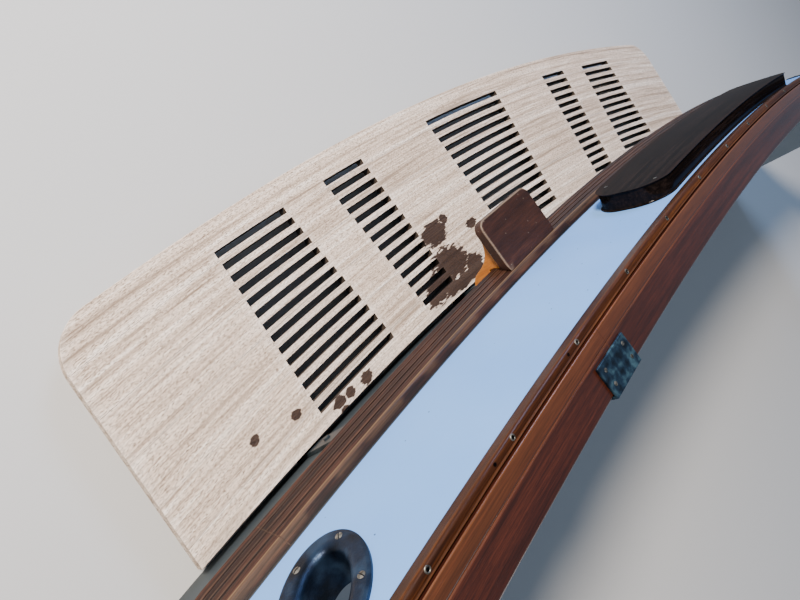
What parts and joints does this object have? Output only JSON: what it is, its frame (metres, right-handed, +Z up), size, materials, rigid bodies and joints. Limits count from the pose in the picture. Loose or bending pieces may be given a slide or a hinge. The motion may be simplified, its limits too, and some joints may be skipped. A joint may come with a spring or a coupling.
{
  "type": "transom with swim platform",
  "caption": "Curved transom of a trawler yacht, pale blue above its rub rail and slate grey below, with cap rail, hawse openings, blank name board, boarding step and slotted teak swim platform.",
  "frame": {"origin": "middle of the transom's flat bottom edge, half way through its thickness", "axes": "+X to starboard, +Y forward into the hull, +Z up"},
  "size_m": [4.299, 1.1937, 1.36],
  "materials": {
    "gelcoat": "sun-dulled gelcoat, pale blue on the bulwark and slate grey on the hull below",
    "rail_varnish": "varnished hardwood, worn on the rub rail's top",
    "board_varnish": "dark gloss varnish",
    "platform_teak": "bare weathered teak, fine grain",
    "dark_bronze": "dark tarnished cast bronze",
    "bracket_steel": "dark painted steel"
  },
  "bodies": {
    "root": {"angle_plate_port": "dark_bronze", "angle_plate_starboard": "dark_bronze", "batten_port_1": "platform_teak", "batten_port_2": "platform_teak", "batten_port_3": "platform_teak", "batten_starboard_1": "platform_teak", "batten_starboard_2": "platform_teak", "batten_starboard_3": "platform_teak", "bracket_port_1": "bracket_steel", "bracket_port_2": "bracket_steel", "bracket_starboard_1": "bracket_steel", "bracket_starboard_2": "bracket_steel", "cap_board_centre": "rail_varnish", "cap_board_port": "rail_varnish", "cap_board_starboard": "rail_varnish", "cap_strip_centre": "rail_varnish", "cap_strip_port": "rail_varnish", "cap_strip_starboard": "rail_varnish", "hawse_fairlead_port": "dark_bronze", "hawse_fairlead_starboard": "dark_bronze", "hawse_trim_port": "dark_bronze", "hawse_trim_starboard": "dark_bronze", "name_board": "board_varnish", "platform_plank_1": "platform_teak", "platform_plank_2": "platform_teak", "platform_plank_3": "platform_teak", "platform_plank_4": "platform_teak", "platform_plank_5": "platform_teak", "platform_plank_6": "platform_teak", "rub_rail_centre": "rail_varnish", "rub_rail_port": "rail_varnish", "rub_rail_quarter_port": "rail_varnish", "rub_rail_quarter_starboard": "rail_varnish", "rub_rail_starboard": "rail_varnish", "step_board": "rail_varnish", "step_knee_inboard": "rail_varnish", "step_knee_outboard": "rail_varnish", "strut_port_1": "bracket_steel", "strut_port_2": "bracket_steel", "strut_starboard_1": "bracket_steel", "strut_starboard_2": "bracket_steel", "transom_wall": "gelcoat"}
  },
  "joints": []
}
